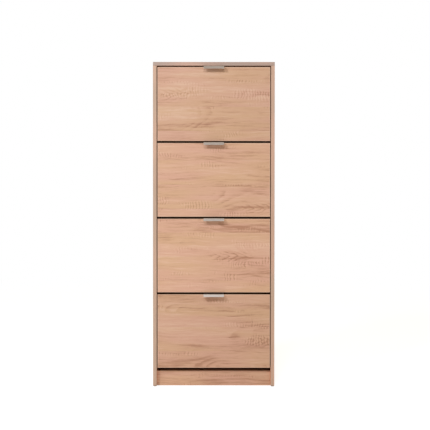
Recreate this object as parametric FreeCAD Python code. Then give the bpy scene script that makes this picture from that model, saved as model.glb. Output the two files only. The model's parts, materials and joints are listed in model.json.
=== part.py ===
import FreeCAD, Part
import math
import os
from FreeCAD import Vector

# A narrow, free-standing shoe cabinet with four tilting flaps one above the other. Each flap
# carries a V-shaped shoe bin and turns on two short pivot pins near its bottom edge.
#
# Frame: +Z up, +Y towards the wall, +X to the right for a person facing the flaps.
# The origin is on the floor, at the middle of the whole object's width and depth.
# All lengths are in millimetres.

# ---------------------------------------------------------------- driving dimensions
CABINET_WIDTH = 495.0
CABINET_HEIGHT = 1322.0
OVERALL_DEPTH = 260.0            # from the handles' lips to the back joint strip
BOARD = 15.0                     # thickness of the melamine-faced boards
BOARD_ROUND = 0.8                # rounding of the banded board edges
HARDBOARD = 3.0                  # thickness of the back and of the bin boards

FLAP_COUNT = 4
FLAP_WIDTH = 459.0
FLAP_HEIGHT = 300.7
FLAP_PITCH = 308.2               # from one flap's top edge to the next one's
FLAP_ROUND = 0.9                 # rounding of the flaps' banded edges
TOP_GAP = 5.2                    # between the top panel and the upper flap

HANDLE_WIDTH = 83.0
HANDLE_PROUD = 16.0              # from the flap's face to the front of the lip
HANDLE_SHEET = 2.0               # wall of the lip and of the web
HANDLE_BACK_LEG = 1.6            # wall of the screwed leg behind the flap
HANDLE_HEIGHT = 11.2             # height of the lip, with the web

GLIDE_HEIGHT = 3.0
PLINTH_LOW = 0.8                 # the plinth reaches lower than the side panels
PLINTH_TOP = 61.4
PLINTH_RECESS = 15.0
BOTTOM_PANEL_TOP = 57.0

PIVOT_BEHIND_FACE = 19.0         # pivot axis behind the flap's front face
PIVOT_ABOVE_EDGE = 45.0          # pivot axis above the flap's bottom edge
OPEN_ANGLE = 45.0                # degrees a flap tilts
PIN_RADIUS = 3.0
BUSH_BORE_RADIUS = 3.06          # 0.06 mm running clearance round the pin

FAN_RADIUS = 246.0               # outer arc of a side bracket, about the pivot
FAN_SHEET = 3.2                  # wall of a side bracket
SHOE_BOARD_LENGTH = 248.0
SHOE_BOARD_SLOPE = 50.0          # degrees above the floor, flap closed
TOE_BOARD_LOW = -40.0            # underside of the toe board, measured from the pivot
BIN_CORNER_BACK = 36.0           # where the two bin boards meet, measured from the pivot

# ---------------------------------------------------------------- places worked out
HALF_WIDTH = CABINET_WIDTH / 2
INNER_X = HALF_WIDTH - BOARD                         # inner face of the right side panel
HANDLE_FRONT_Y = -OVERALL_DEPTH / 2
FRONT_Y = HANDLE_FRONT_Y + HANDLE_PROUD              # front of flaps, sides and top
REAR_Y = OVERALL_DEPTH / 2                           # outer face of the back joint strip
STRIP_FLANGE = 1.0
BACK_OUTER_Y = REAR_Y - STRIP_FLANGE                 # outer face of the hardboard back
BACK_INNER_Y = BACK_OUTER_Y - HARDBOARD              # rear edge of the side panels
TOP_UNDERSIDE = CABINET_HEIGHT - BOARD
PIVOT_Y = FRONT_Y + PIVOT_BEHIND_FACE
FLAP_BACK = BOARD - PIVOT_BEHIND_FACE                # flap's inner face, from the pivot
FAN_OUTER_X = FLAP_WIDTH / 2 - 0.8                   # outer face of the right fan
FAN_INNER_X = FAN_OUTER_X - FAN_SHEET
HALF_BOARD = BOARD / 2

OVERLAP = 1.0                    # how far pieces that become one solid run into each other
PAST = 5.0                       # how far a bore or a cut runs past what it is cut from
SAME = 0.01                      # coordinates closer than this are the same

X_AXIS = Vector(1, 0, 0)
Y_AXIS = Vector(0, 1, 0)
Z_AXIS = Vector(0, 0, 1)


def flap_top(number):
    """Height of the top edge of flap 1 (upper) to 4 (lower)."""
    return TOP_UNDERSIDE - TOP_GAP - (number - 1) * FLAP_PITCH


def pivot_height(number):
    return flap_top(number) - FLAP_HEIGHT + PIVOT_ABOVE_EDGE


# ---------------------------------------------------------------- shape helpers
def block(x_range, y_range, z_range):
    low = Vector(x_range[0], y_range[0], z_range[0])
    return Part.makeBox(x_range[1] - x_range[0], y_range[1] - y_range[0],
                        z_range[1] - z_range[0], low)


def board(x_range, y_range, z_range, edge_round=BOARD_ROUND):
    """A board with all its edges slightly rounded."""
    sheet = block(x_range, y_range, z_range)
    return sheet.makeFillet(edge_round, sheet.Edges)


def rod(start, direction, radius, length):
    return Part.makeCylinder(radius, length, start, direction)


def cone(start, direction, first_radius, second_radius, length):
    return Part.makeCone(first_radius, second_radius, length, start, direction)


def join(shapes):
    whole = shapes[0].multiFuse(shapes[1:])
    return whole.removeSplitter()


def without(shape, tools):
    return shape.cut(list(tools)) if tools else shape


def mirrored(shape):
    """The same piece for the other side of the cabinet."""
    return shape.mirror(Vector(0, 0, 0), X_AXIS)


def group(solids):
    return Part.makeCompound(solids)


def both_sides(solids):
    return solids + [mirrored(solid) for solid in solids]


def profile_in_yz(points, x_start, x_end):
    """Extrude a closed outline, given as (y, z) points, along X."""
    corners = [Vector(x_start, y, z) for y, z in points]
    outline = Part.makePolygon(corners + corners[:1])
    return Part.Face(outline).extrude(Vector(x_end - x_start, 0, 0))


# ---------------------------------------------------------------- knock-down fittings
CAM_RADIUS = 7.5
CAM_DEPTH = 12.0
CAM_SETBACK = 24.0               # cam centre from the joint face
BOLT_RADIUS = 2.5
BOLT_HEAD_RADIUS = 3.5
BOLT_HEAD_LENGTH = 4.0
BOLT_CHANNEL_ROOM = 0.4          # room round the bolt inside the cam
CAM_SLOT_REACH = 4.0             # half the length of the cam's screwdriver cross
CAM_SLOT_HALF_WIDTH = 0.75
CAM_SLOT_DEPTH = 2.0
BOLT_THREAD = 10.0               # length screwed into the other board
DOWEL_RADIUS = 4.0
DOWEL_LENGTH = 28.0
DOWEL_SHALLOW = 9.0              # length in the board that is met face on
HOLE_ROOM = 0.05                 # how much larger a hole is than what sits in it


def cam_bolt(joint_point, into_face, room=0.0):
    """Bolt whose thread stands in a board's face and whose head lies in the cam."""
    back = joint_point - into_face * CAM_SETBACK
    shank = rod(back, into_face, BOLT_RADIUS + room, CAM_SETBACK + BOLT_THREAD + room)
    head = rod(back - into_face * (BOLT_HEAD_LENGTH / 2 + room), into_face,
               BOLT_HEAD_RADIUS + room, BOLT_HEAD_LENGTH + 2 * room)
    return join([shank, head])


def cam_seat(joint_point, into_face, bore_direction, room=0.0):
    """The round body of a cam, bored from a board's face along bore_direction."""
    centre = joint_point - into_face * CAM_SETBACK
    mouth = centre - bore_direction * HALF_BOARD
    return rod(mouth, bore_direction, CAM_RADIUS + room, CAM_DEPTH + room)


def cam_lock(joint_point, into_face, bore_direction):
    body = cam_seat(joint_point, into_face, bore_direction)
    centre = joint_point - into_face * CAM_SETBACK
    mouth = centre - bore_direction * HALF_BOARD
    channel = cam_bolt(joint_point, into_face, BOLT_CHANNEL_ROOM)
    cross = driver_cross(mouth, bore_direction, into_face, CAM_SLOT_REACH,
                         CAM_SLOT_HALF_WIDTH, CAM_SLOT_DEPTH)
    return without(body, [channel] + cross)


def driver_cross(middle, inward, along, reach, half_width, depth):
    """The two crossed bars that a screwdriver enters, cut inward from a face."""
    bars = []
    for way in (along, inward.cross(along)):
        length = way * reach
        width = inward.cross(way) * half_width
        corners = [middle + length + width, middle - length + width,
                   middle - length - width, middle + length - width]
        outline = Part.makePolygon(corners + corners[:1])
        bars.append(Part.Face(outline).extrude(inward * depth))
    return bars


def dowel(joint_point, into_face, room=0.0):
    start = joint_point - into_face * (DOWEL_LENGTH - DOWEL_SHALLOW + room)
    return rod(start, into_face, DOWEL_RADIUS + room, DOWEL_LENGTH + 2 * room)


TOP_BOLT_Y = (-80.0, 70.0)
TOP_DOWEL_Y = (-40.0, 35.0)
BOTTOM_BOLT_Y = (-50.0, 85.0)
BOTTOM_DOWEL_Y = (-20.0, 55.0)
RAIL_BOLT_DROP = 20.0            # below the top panel
RAIL_DOWEL_DROP = 47.0
PLINTH_DOWEL_Z = (18.0, 48.0)
SIDE_MIDDLE_X = HALF_WIDTH - HALF_BOARD
BOTTOM_MIDDLE_Z = BOTTOM_PANEL_TOP - HALF_BOARD
RAIL_MIDDLE_Y = BACK_INNER_Y - HALF_BOARD
PLINTH_MIDDLE_Y = FRONT_Y + PLINTH_RECESS + HALF_BOARD


def cam_joints():
    """The right side's cam joints: where the bolt crosses the joint, which way the bolt
    points and which way the cam is bored. The left side is the mirror image."""
    joints = [(Vector(SIDE_MIDDLE_X, y, TOP_UNDERSIDE), Z_AXIS, X_AXIS) for y in TOP_BOLT_Y]
    joints += [(Vector(INNER_X, y, BOTTOM_MIDDLE_Z), X_AXIS, Z_AXIS) for y in BOTTOM_BOLT_Y]
    rail_point = Vector(INNER_X, RAIL_MIDDLE_Y, TOP_UNDERSIDE - RAIL_BOLT_DROP)
    joints.append((rail_point, X_AXIS, Y_AXIS))
    return joints


def dowel_joints():
    """Where the right side's dowels cross their joints, and which way they point."""
    joints = [(Vector(SIDE_MIDDLE_X, y, TOP_UNDERSIDE), Z_AXIS) for y in TOP_DOWEL_Y]
    joints += [(Vector(INNER_X, y, BOTTOM_MIDDLE_Z), X_AXIS) for y in BOTTOM_DOWEL_Y]
    joints += [(Vector(INNER_X, PLINTH_MIDDLE_Y, z), X_AXIS) for z in PLINTH_DOWEL_Z]
    rail_point = Vector(INNER_X, RAIL_MIDDLE_Y, TOP_UNDERSIDE - RAIL_DOWEL_DROP)
    joints.append((rail_point, X_AXIS))
    return joints


def fitting_holes():
    """Everything that is bored out of the boards for cams, bolts and dowels."""
    holes = []
    for point, direction, bore in cam_joints():
        holes.append(cam_bolt(point, direction, HOLE_ROOM))
        holes.append(cam_seat(point, direction, bore, HOLE_ROOM))
    for point, direction in dowel_joints():
        holes.append(dowel(point, direction, HOLE_ROOM))
    return both_sides(holes)


def cam_locks():
    return group(both_sides([cam_lock(*joint) for joint in cam_joints()]))


def cam_bolts():
    return group(both_sides([cam_bolt(point, way) for point, way, bore in cam_joints()]))


def dowels():
    return group(both_sides([dowel(point, way) for point, way in dowel_joints()]))


# ---------------------------------------------------------------- back nails
NAIL_RADIUS = 0.8
NAIL_LENGTH = 17.0
NAIL_HEAD_RADIUS = 2.2
NAIL_HEAD = 0.7
SIDE_NAIL_ROWS = 12
SIDE_NAIL_START = 90.0
SIDE_NAIL_STEP = 104.0
EDGE_NAIL_X = [60.0, 160.0]


def back_nail(x, z, room=0.0):
    shank = rod(Vector(x, BACK_OUTER_Y + room, z), -Y_AXIS, NAIL_RADIUS + room,
                NAIL_LENGTH + 2 * room)
    if room:
        return shank
    head = rod(Vector(x, BACK_OUTER_Y, z), Y_AXIS, NAIL_HEAD_RADIUS, NAIL_HEAD)
    return join([shank, head])


def all_back_nails(room=0.0):
    nails = []
    for row in range(SIDE_NAIL_ROWS):
        nails.append(back_nail(SIDE_MIDDLE_X, SIDE_NAIL_START + row * SIDE_NAIL_STEP, room))
    for x in EDGE_NAIL_X:
        nails.append(back_nail(x, TOP_UNDERSIDE + HALF_BOARD, room))
        nails.append(back_nail(x, BOTTOM_MIDDLE_Z, room))
    return both_sides(nails)


# ---------------------------------------------------------------- floor glides
GLIDE_WIDTH = 13.0
GLIDE_LENGTH = 34.0
GLIDE_PIN_RADIUS = 1.5
GLIDE_PIN_LENGTH = 12.0
GLIDE_PIN_OFFSET = 10.0          # from the glide's middle
GLIDE_CORNER = 3.0
GLIDE_ROUND = 0.6                # rounding of the edge that slides on the floor
GLIDE_INSET = 1.0                # from the ends of the side panel


def glide_pins(middle_y, room=0.0):
    pins = []
    for offset in (-GLIDE_PIN_OFFSET, GLIDE_PIN_OFFSET):
        start = Vector(SIDE_MIDDLE_X, middle_y + offset, GLIDE_HEIGHT)
        pins.append(rod(start, Z_AXIS, GLIDE_PIN_RADIUS + room, GLIDE_PIN_LENGTH + room))
    return pins


def glide_middles():
    reach = GLIDE_LENGTH / 2 + GLIDE_INSET
    return [FRONT_Y + reach, BACK_INNER_Y - reach]


def glide(middle_y):
    pad = block((SIDE_MIDDLE_X - GLIDE_WIDTH / 2, SIDE_MIDDLE_X + GLIDE_WIDTH / 2),
                (middle_y - GLIDE_LENGTH / 2, middle_y + GLIDE_LENGTH / 2),
                (0, GLIDE_HEIGHT))
    upright = [edge for edge in pad.Edges if abs(edge.BoundBox.ZLength - GLIDE_HEIGHT) < SAME]
    pad = pad.makeFillet(GLIDE_CORNER, upright)
    lower = [edge for edge in pad.Edges if edge.BoundBox.ZMax < SAME]
    pad = pad.makeFillet(GLIDE_ROUND, lower)
    return join([pad] + glide_pins(middle_y))


def glides():
    return group(both_sides([glide(middle) for middle in glide_middles()]))


# ---------------------------------------------------------------- pivot plates
PLATE_SHEET = 2.0
PLATE_X = INNER_X - PLATE_SHEET
PLATE_FRONT = -11.0              # from the pivot
PLATE_REAR = 23.0
PLATE_LOW = -38.0
PLATE_HIGH = 42.0
PLATE_CORNER = 8.0
BUSH_OUTER_RADIUS = 5.0
BUSH_DEPTH = 10.0
BUSH_FLOOR = 2.0
PEG_RADIUS = 3.0
PEG_ORBIT = 32.0                 # stop peg's distance from the pivot
PEG_ANGLE = 75.0                 # degrees above the horizontal, towards the wall
PEG_LENGTH = 6.0
PLATE_SCREWS = [(6.0, -24.0), (14.0, 14.0)]      # (back, up) from the pivot
SCREW_RADIUS = 1.75
SCREW_HEAD_RADIUS = 3.5
SCREW_HEAD_LENGTH = 1.8
PLATE_SCREW_LENGTH = 13.0
RECESS_REACH = 1.7               # half the length of the cross recess in a screw head
RECESS_HALF_WIDTH = 0.4
RECESS_DEPTH = 1.0


def orbit_point(radius, angle, x, number):
    """Point at a radius and an angle above the horizontal from a flap's pivot."""
    turn = math.radians(angle)
    return pivot_point(x, number, radius * math.cos(turn), radius * math.sin(turn))


def pivot_point(x, number, back=0.0, up=0.0):
    """Point at a distance back and up from a flap's pivot axis."""
    return Vector(x, PIVOT_Y + back, pivot_height(number) + up)


def plate_screw(number, back, up, room=0.0):
    start = pivot_point(PLATE_X, number, back, up)
    shank = rod(start, X_AXIS, SCREW_RADIUS + room, PLATE_SCREW_LENGTH + room)
    head = cone(start, X_AXIS, SCREW_HEAD_RADIUS + room, SCREW_RADIUS + room, SCREW_HEAD_LENGTH)
    screw = join([shank, head])
    if room:
        return screw
    return without(screw, screw_recess(start, X_AXIS, Y_AXIS))


def screw_recess(face_point, inward, along):
    return driver_cross(face_point, inward, along, RECESS_REACH, RECESS_HALF_WIDTH, RECESS_DEPTH)


def pivot_plate(number):
    sheet = block((PLATE_X, INNER_X),
                  (PIVOT_Y + PLATE_FRONT, PIVOT_Y + PLATE_REAR),
                  (pivot_height(number) + PLATE_LOW, pivot_height(number) + PLATE_HIGH))
    corners = [edge for edge in sheet.Edges if abs(edge.BoundBox.XLength - PLATE_SHEET) < SAME]
    sheet = sheet.makeFillet(PLATE_CORNER, corners)
    bush = rod(pivot_point(INNER_X, number), X_AXIS, BUSH_OUTER_RADIUS, BUSH_DEPTH)
    peg_end = orbit_point(PEG_ORBIT, PEG_ANGLE, PLATE_X - PEG_LENGTH, number)
    peg = rod(peg_end, X_AXIS, PEG_RADIUS, PEG_LENGTH + OVERLAP)
    plate = join([sheet, bush, peg])
    bore_depth = PLATE_SHEET + BUSH_DEPTH - BUSH_FLOOR
    bore = rod(pivot_point(PLATE_X, number), X_AXIS, BUSH_BORE_RADIUS, bore_depth)
    holes = [plate_screw(number, back, up, HOLE_ROOM) for back, up in PLATE_SCREWS]
    return without(plate, [bore] + holes)


def pivot_side_holes():
    """Holes in the right side panel for the bushes and the plate screws."""
    holes = []
    for number in range(1, FLAP_COUNT + 1):
        holes.append(rod(pivot_point(INNER_X - PAST, number), X_AXIS,
                         BUSH_OUTER_RADIUS + HOLE_ROOM, PAST + BUSH_DEPTH + HOLE_ROOM))
        for back, up in PLATE_SCREWS:
            holes.append(plate_screw(number, back, up, HOLE_ROOM))
    return holes


def pivot_plates_right():
    return group([pivot_plate(number) for number in range(1, FLAP_COUNT + 1)])


def pivot_plate_screws():
    screws = []
    for number in range(1, FLAP_COUNT + 1):
        for back, up in PLATE_SCREWS:
            screws.append(plate_screw(number, back, up))
    return group(both_sides(screws))


# ---------------------------------------------------------------- plinth brackets
BRACKET_LEG = 20.0
BRACKET_SHEET = 1.5
BRACKET_HEIGHT = 16.0
BRACKET_LOW = 25.0
BRACKET_SCREW_OUT = 12.0         # from the corner of the angle
PLINTH_REAR_Y = FRONT_Y + PLINTH_RECESS + BOARD
BRACKET_SCREW_LENGTH = 12.0
PAN_HEAD_RADIUS = 3.4
PAN_HEAD_HEIGHT = 2.0
PAN_HEAD_ROUND = 1.0


def pan_screw(head_face, direction, length, room=0.0):
    """Pan-head screw: direction points from the head into the work."""
    shank = rod(head_face, direction, SCREW_RADIUS + room, length + room)
    if room:
        return shank
    head = rod(head_face - direction * PAN_HEAD_HEIGHT, direction, PAN_HEAD_RADIUS, PAN_HEAD_HEIGHT)
    rim = [edge for edge in head.Edges if edge.Curve.TypeId == "Part::GeomCircle"
           and (edge.Curve.Center - head_face).Length > PAN_HEAD_HEIGHT / 2]
    head = head.makeFillet(PAN_HEAD_ROUND, rim)
    along = Y_AXIS if direction == X_AXIS else X_AXIS
    recess = screw_recess(head_face - direction * PAN_HEAD_HEIGHT, direction, along)
    return without(join([shank, head]), recess)


def bracket_screws(room=0.0):
    middle_z = BRACKET_LOW + BRACKET_HEIGHT / 2
    to_plinth = Vector(INNER_X - BRACKET_SCREW_OUT, PLINTH_REAR_Y + BRACKET_SHEET, middle_z)
    to_side = Vector(INNER_X - BRACKET_SHEET, PLINTH_REAR_Y + BRACKET_SCREW_OUT, middle_z)
    return [pan_screw(to_plinth, -Y_AXIS, BRACKET_SCREW_LENGTH, room),
            pan_screw(to_side, X_AXIS, BRACKET_SCREW_LENGTH, room)]


def plinth_bracket():
    height = (BRACKET_LOW, BRACKET_LOW + BRACKET_HEIGHT)
    on_plinth = block((INNER_X - BRACKET_LEG, INNER_X),
                      (PLINTH_REAR_Y, PLINTH_REAR_Y + BRACKET_SHEET), height)
    on_side = block((INNER_X - BRACKET_SHEET, INNER_X),
                    (PLINTH_REAR_Y, PLINTH_REAR_Y + BRACKET_LEG), height)
    return without(join([on_plinth, on_side]), bracket_screws(HOLE_ROOM))


# ---------------------------------------------------------------- carcass boards
RAIL_LOW = TOP_UNDERSIDE - 60.0
WALL_HOLE_RADIUS = 2.5
WALL_HOLE_SPACING = 350.0
WALL_HOLE_HEIGHT = TOP_UNDERSIDE - 30.0


def wall_holes():
    """The two holes through the top rail and the back, for the wall screws."""
    start = Vector(WALL_HOLE_SPACING / 2, BACK_INNER_Y - BOARD - PAST, WALL_HOLE_HEIGHT)
    return both_sides([rod(start, Y_AXIS, WALL_HOLE_RADIUS, BOARD + HARDBOARD + 2 * PAST)])


def side_panel_right():
    panel = board((INNER_X, HALF_WIDTH), (FRONT_Y, BACK_INNER_Y), (GLIDE_HEIGHT, TOP_UNDERSIDE))
    holes = fitting_holes() + pivot_side_holes() + bracket_screws(HOLE_ROOM)
    holes += all_back_nails(HOLE_ROOM)
    for middle in glide_middles():
        holes += glide_pins(middle, HOLE_ROOM)
    return without(panel, holes)


def top_panel():
    panel = board((-HALF_WIDTH, HALF_WIDTH), (FRONT_Y, BACK_INNER_Y),
                  (TOP_UNDERSIDE, CABINET_HEIGHT))
    return without(panel, fitting_holes() + all_back_nails(HOLE_ROOM))


def bottom_panel():
    panel = board((-INNER_X, INNER_X), (PLINTH_REAR_Y, BACK_INNER_Y),
                  (BOTTOM_PANEL_TOP - BOARD, BOTTOM_PANEL_TOP))
    return without(panel, fitting_holes() + all_back_nails(HOLE_ROOM))


def plinth():
    panel = board((-INNER_X, INNER_X), (FRONT_Y + PLINTH_RECESS, PLINTH_REAR_Y),
                  (PLINTH_LOW, PLINTH_TOP))
    return without(panel, fitting_holes() + both_sides(bracket_screws(HOLE_ROOM)))


def rear_rail_top():
    panel = board((-INNER_X, INNER_X), (BACK_INNER_Y - BOARD, BACK_INNER_Y),
                  (RAIL_LOW, TOP_UNDERSIDE))
    return without(panel, fitting_holes() + wall_holes())


# ---------------------------------------------------------------- hardboard back
BACK_INSET = 2.5                 # from the outer faces of the sides
BACK_TOP = CABINET_HEIGHT - 3.0
BACK_LOW = 46.0
STRIP_MIDDLE = 662.0
STRIP_WEB = 1.6
STRIP_REACH = 9.0                # half the strip's height
STRIP_END_ROOM = 0.5             # between the inner flange's ends and the side panels


def back_sheet(z_range):
    half = HALF_WIDTH - BACK_INSET
    sheet = block((-half, half), (BACK_INNER_Y, BACK_OUTER_Y), z_range)
    return without(sheet, wall_holes() + all_back_nails(HOLE_ROOM))


def back_panel_upper():
    return back_sheet((STRIP_MIDDLE + STRIP_WEB / 2, BACK_TOP))


def back_panel_lower():
    return back_sheet((BACK_LOW, STRIP_MIDDLE - STRIP_WEB / 2))


def back_joint_strip():
    """H-shaped strip that holds the two back sheets edge to edge."""
    height = (STRIP_MIDDLE - STRIP_REACH, STRIP_MIDDLE + STRIP_REACH)
    half = HALF_WIDTH - BACK_INSET
    outer = block((-half, half), (BACK_OUTER_Y, REAR_Y), height)
    web = block((-half, half), (BACK_INNER_Y, BACK_OUTER_Y),
                (STRIP_MIDDLE - STRIP_WEB / 2, STRIP_MIDDLE + STRIP_WEB / 2))
    inner_half = INNER_X - STRIP_END_ROOM
    inner = block((-inner_half, inner_half), (BACK_INNER_Y - STRIP_FLANGE, BACK_INNER_Y), height)
    return join([outer, web, inner])


# ---------------------------------------------------------------- flap and handle
HANDLE_SCREW_X = 30.0
HANDLE_LEG_DROP = 17.0           # how far the screwed leg reaches below the flap's top edge
HANDLE_SCREW_DROP = 10.0
HANDLE_SCREW_LENGTH = 12.0
HANDLE_BEND = 1.6                # outer radius of the bend between web and lip
HANDLE_EDGE_ROUND = 0.5


def handle_screws(number, room=0.0):
    y = FRONT_Y + BOARD + HANDLE_BACK_LEG
    start = Vector(HANDLE_SCREW_X, y, flap_top(number) - HANDLE_SCREW_DROP)
    return both_sides([pan_screw(start, -Y_AXIS, HANDLE_SCREW_LENGTH, room)])


def handle(number):
    """Bent aluminium edge pull: a leg behind the flap, a web over its edge, a lip in front."""
    top = flap_top(number) + HANDLE_SHEET
    edge = flap_top(number)
    lip_end = top - HANDLE_HEIGHT
    flap_rear = FRONT_Y + BOARD
    outline = [
        (HANDLE_FRONT_Y, lip_end),
        (HANDLE_FRONT_Y, top),
        (flap_rear + HANDLE_BACK_LEG, top),
        (flap_rear + HANDLE_BACK_LEG, edge - HANDLE_LEG_DROP),
        (flap_rear, edge - HANDLE_LEG_DROP),
        (flap_rear, edge),
        (HANDLE_FRONT_Y + HANDLE_SHEET, edge),
        (HANDLE_FRONT_Y + HANDLE_SHEET, lip_end),
    ]
    pull = profile_in_yz(outline, -HANDLE_WIDTH / 2, HANDLE_WIDTH / 2)
    bend = [edge for edge in pull.Edges if edge.BoundBox.XLength > HANDLE_WIDTH - SAME
            and edge.BoundBox.YMax < HANDLE_FRONT_Y + SAME and edge.BoundBox.ZMin > top - SAME]
    pull = pull.makeFillet(HANDLE_BEND, bend)
    lip_edges = [edge for edge in pull.Edges if edge.BoundBox.ZMax < lip_end + SAME
                 and edge.BoundBox.YMax < HANDLE_FRONT_Y + HANDLE_SHEET + SAME]
    pull = pull.makeFillet(HANDLE_EDGE_ROUND, lip_edges)
    return without(pull, handle_screws(number, HOLE_ROOM))


def flap_front(number):
    top = flap_top(number)
    front = board((-FLAP_WIDTH / 2, FLAP_WIDTH / 2), (FRONT_Y, FRONT_Y + BOARD),
                  (top - FLAP_HEIGHT, top), FLAP_ROUND)
    holes = handle_screws(number, HOLE_ROOM) + both_sides(fan_screws(number, HOLE_ROOM))
    return without(front, holes)


# ---------------------------------------------------------------- shoe bin
FLANGE_SHEET = 3.0               # flange that is screwed to the flap
FLANGE_WIDTH = 12.0
FLANGE_TOP = 240.0               # from the pivot
FAN_SCREW_UP = [-22.0, 105.0, 222.0]
FAN_SCREW_LENGTH = 13.0
GROOVE_RIB = 3.0
GROOVE_ROOM = 0.2
GROOVE_DEPTH = 10.0
RIM_SHEET = 3.0
RIM_WIDTH = 8.0
STIFFENER_WIDTH = 3.0
STIFFENER_DEPTH = 3.0
STIFFENER_ARC = 140.0            # inner radius of the curved stiffener
STIFFENER_RAYS = (58.0, 75.0)    # degrees above the horizontal
STIFFENER_START = 48.0           # from the pivot
BOSS_RADIUS = 9.0
BOSS_LENGTH = 9.0
SLOT_ROOM = 0.4
TOE_BOARD_GAP = 0.3              # between the toe board and the flap
BOARD_END_ROOM = 0.3             # between a bin board and the fan's wall
RIB_END = 6.0                    # how far the grooves stop short of the shoe board's end
CORNER_ROOM = 4.0                # how far the grooves stop short of the bin's corner
TOE_BOARD_SETBACK = 2.0          # from the toe board's rear edge to the bin's corner
PIN_SEAT_FLOOR = 2.0             # plastic left at the blind end of the pin's bore
PIN_END_ROOM = 0.8               # between the pin's tip and the bottom of its bush
PIN_CHAMFER = 0.6

SLOPE = math.radians(SHOE_BOARD_SLOPE)
CORNER_UP = TOE_BOARD_LOW + HARDBOARD


def along_slope(distance, outward=0.0):
    """(back, up) from the pivot: a distance up the shoe board, and outward from its face."""
    back = BIN_CORNER_BACK + distance * math.cos(SLOPE) + outward * math.sin(SLOPE)
    up = CORNER_UP + distance * math.sin(SLOPE) - outward * math.cos(SLOPE)
    return back, up


def flap_profile(number, points, x_start, x_end):
    """Extrude an outline given as (back, up) points from a flap's pivot."""
    shifted = [(PIVOT_Y + back, pivot_height(number) + up) for back, up in points]
    return profile_in_yz(shifted, x_start, x_end)


def shoe_board(number, half_length=None):
    end = FAN_INNER_X - BOARD_END_ROOM if half_length is None else half_length
    points = [along_slope(0), along_slope(SHOE_BOARD_LENGTH),
              along_slope(SHOE_BOARD_LENGTH, HARDBOARD), along_slope(0, HARDBOARD)]
    return flap_profile(number, points, -end, end)


def toe_board(number):
    end = FAN_INNER_X - BOARD_END_ROOM
    rear = BIN_CORNER_BACK - TOE_BOARD_SETBACK
    points = [(FLAP_BACK + TOE_BOARD_GAP, TOE_BOARD_LOW), (rear, TOE_BOARD_LOW),
              (rear, CORNER_UP), (FLAP_BACK + TOE_BOARD_GAP, CORNER_UP)]
    return flap_profile(number, points, -end, end)


def fan_outline(number, x_start, x_end):
    """The bracket's wall: a sector between the flap and the underside of the shoe board."""
    margin = HARDBOARD + GROOVE_ROOM + GROOVE_RIB
    low = TOE_BOARD_LOW - GROOVE_ROOM - GROOVE_RIB
    far_back, far_up = along_slope(FAN_RADIUS + BIN_CORNER_BACK, margin)
    near_back = BIN_CORNER_BACK + (margin - (CORNER_UP - low) * math.cos(SLOPE)) / math.sin(SLOPE)
    points = [(FLAP_BACK, low), (near_back, low), (far_back, far_up), (FLAP_BACK, far_up)]
    wedge = flap_profile(number, points, x_start, x_end)
    disc = rod(pivot_point(x_start, number), X_AXIS, FAN_RADIUS, x_end - x_start)
    return wedge.common(disc)


def groove_ribs(number):
    """Pairs of ribs that hold the ends of the two bin boards."""
    inside = -GROOVE_ROOM
    outside = HARDBOARD + GROOVE_ROOM
    run = SHOE_BOARD_LENGTH - RIB_END
    start = CORNER_ROOM + GROOVE_RIB
    upper = [along_slope(CORNER_ROOM, inside), along_slope(run, inside),
             along_slope(run, inside - GROOVE_RIB), along_slope(start, inside - GROOVE_RIB)]
    lower = [along_slope(0, outside), along_slope(run, outside),
             along_slope(run, outside + GROOVE_RIB), along_slope(0, outside + GROOVE_RIB)]
    toe_end = BIN_CORNER_BACK - CORNER_ROOM
    above = CORNER_UP + GROOVE_ROOM
    below = TOE_BOARD_LOW - GROOVE_ROOM
    toe_upper = [(FLAP_BACK, above), (toe_end, above),
                 (toe_end, above + GROOVE_RIB), (FLAP_BACK, above + GROOVE_RIB)]
    toe_lower = [(FLAP_BACK, below), (toe_end + GROOVE_RIB, below),
                 (toe_end + GROOVE_RIB, below - GROOVE_RIB), (FLAP_BACK, below - GROOVE_RIB)]
    ribs = []
    for points in (upper, lower, toe_upper, toe_lower):
        ribs.append(flap_profile(number, points, FAN_INNER_X - GROOVE_DEPTH, FAN_INNER_X + OVERLAP))
    return ribs


def arc_band(number, inner_radius, outer_radius, x_start, x_end):
    centre = pivot_point(x_start, number)
    ring = rod(centre, X_AXIS, outer_radius, x_end - x_start)
    return ring.cut(rod(centre, X_AXIS, inner_radius, x_end - x_start))


def stiffeners(number):
    """Low ribs on the bracket's wall: two rays and one arc."""
    x_start = FAN_INNER_X - STIFFENER_DEPTH
    x_end = FAN_INNER_X + OVERLAP
    ribs = [arc_band(number, STIFFENER_ARC, STIFFENER_ARC + STIFFENER_WIDTH, x_start, x_end)]
    for angle in STIFFENER_RAYS:
        low = pivot_point(x_start, number, STIFFENER_START, -STIFFENER_WIDTH / 2)
        ray = Part.makeBox(x_end - x_start, FAN_RADIUS - STIFFENER_START, STIFFENER_WIDTH, low)
        ray.rotate(pivot_point(0, number), X_AXIS, angle)
        ribs.append(ray)
    return ribs


def stop_slot(number):
    """Arc slot that runs along the fixed stop peg: its ends stop the flap shut and open."""
    x_start = FAN_INNER_X - GROOVE_DEPTH
    depth = FAN_OUTER_X - x_start + PAST
    half_slot = PEG_RADIUS + SLOT_ROOM
    ring = arc_band(number, PEG_ORBIT - half_slot, PEG_ORBIT + half_slot, x_start, x_start + depth)
    corners = [(0.0, 0.0)]
    for angle in (PEG_ANGLE, PEG_ANGLE - OPEN_ANGLE / 2, PEG_ANGLE - OPEN_ANGLE):
        turn = math.radians(angle)
        corners.append((2 * PEG_ORBIT * math.cos(turn), 2 * PEG_ORBIT * math.sin(turn)))
    wedge = flap_profile(number, corners, x_start, x_start + depth)
    ends = []
    for angle in (PEG_ANGLE, PEG_ANGLE - OPEN_ANGLE):
        ends.append(rod(orbit_point(PEG_ORBIT, angle, x_start, number), X_AXIS, half_slot, depth))
    return join([ring.common(wedge)] + ends)


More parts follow.
